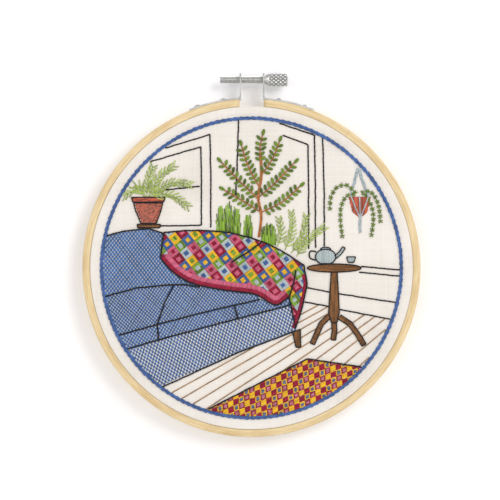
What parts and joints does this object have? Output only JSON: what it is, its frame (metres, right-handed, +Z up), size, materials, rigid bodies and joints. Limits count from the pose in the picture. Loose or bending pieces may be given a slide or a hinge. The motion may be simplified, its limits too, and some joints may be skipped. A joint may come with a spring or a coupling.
{
  "type": "embroidery hoop",
  "caption": "Round wooden embroidery hoop with a screw clamp, holding a stretched cotton cloth stitched with a sitting room scene.",
  "frame": {"origin": "on the wall plane, in the middle of the ring, at the underside of the clamp screw where a nail carries the hoop", "axes": "+Z up, -Y out of the stitched face towards the viewer, +Y into the wall, +X to the viewer's right"},
  "size_m": [0.158, 0.011, 0.1703],
  "materials": {
    "outer_wood": "pale bamboo strip, sanded, thin satin varnish",
    "inner_wood": "pale bamboo strip, sanded",
    "plated_sheet": "zinc-plated pressed sheet",
    "rivet_steel": "plated, domed",
    "plated_steel": "nickel-plated, threaded and knurled",
    "cotton_cloth": "plain-weave off-white cotton",
    "white_thread": "cotton thread",
    "blue_thread": "stranded cotton",
    "denim_thread": "stranded cotton",
    "sky_thread": "stranded cotton",
    "pink_thread": "stranded cotton",
    "red_thread": "stranded cotton",
    "yellow_thread": "stranded cotton",
    "green_thread": "stranded cotton",
    "leaf_thread": "stranded cotton",
    "lime_thread": "stranded cotton",
    "bark_thread": "stranded cotton",
    "brown_thread": "stranded cotton",
    "tan_thread": "stranded cotton",
    "terracotta_thread": "stranded cotton",
    "grey_thread": "stranded cotton",
    "black_thread": "stranded cotton"
  },
  "bodies": {
    "inner_hoop": {"border_stitching": "blue_thread", "fabric_margin": "cotton_cloth", "fern_leaves": "lime_thread", "floor_lines": "tan_thread", "gathering_thread": "white_thread", "grass_blades": "green_thread", "ground_fabric": "cotton_cloth", "hanger_cords": "grey_thread", "hanging_pot": "terracotta_thread", "inner_ring": "inner_wood", "plant_pot": "terracotta_thread", "pot_stool": "brown_thread", "rug_blue": "blue_thread", "rug_outline": "black_thread", "rug_pink": "pink_thread", "rug_red": "red_thread", "rug_yellow": "yellow_thread", "side_table": "brown_thread", "sofa_filling": "denim_thread", "sofa_leg": "brown_thread", "sofa_outline": "black_thread", "table_outline": "black_thread", "tea_outline": "black_thread", "tea_set": "sky_thread", "throw_blue": "blue_thread", "throw_green": "green_thread", "throw_outline": "black_thread", "throw_pink": "pink_thread", "throw_red": "red_thread", "throw_sky": "sky_thread", "throw_yellow": "yellow_thread", "tree_leaves": "leaf_thread", "tree_trunk": "bark_thread", "vine_leaves": "leaf_thread", "vine_stems": "leaf_thread", "wall_lines": "black_thread"},
    "outer_hoop": {"outer_ring": "outer_wood", "right_bracket": "plated_sheet", "right_rivets": "rivet_steel"},
    "screw": {"clamp_screw": "plated_steel"},
    "left_end": {"left_bracket": "plated_sheet", "left_rivets": "rivet_steel"}
  },
  "joints": [
    {"name": "outer_hoop_slide", "type": "slide", "parent": "inner_hoop", "child": "outer_hoop", "axis": [0, -1, 0], "range_m": [0, 0.025]},
    {"name": "screw_turn", "type": "hinge", "parent": "outer_hoop", "child": "screw", "pos_m": [0, -0.005, 0.0017], "axis": [1, 0, 0], "range_deg": [0, 4325]},
    {"name": "clamp_opening", "type": "slide", "parent": "outer_hoop", "child": "left_end", "axis": [-1, 0, 0], "range_m": [0, 0.0072], "deforming": ["outer_ring"]}
  ],
  "couplings": [
    {"joint": "screw_turn", "follows": "clamp_opening", "rad_per_m": 10472}
  ]
}
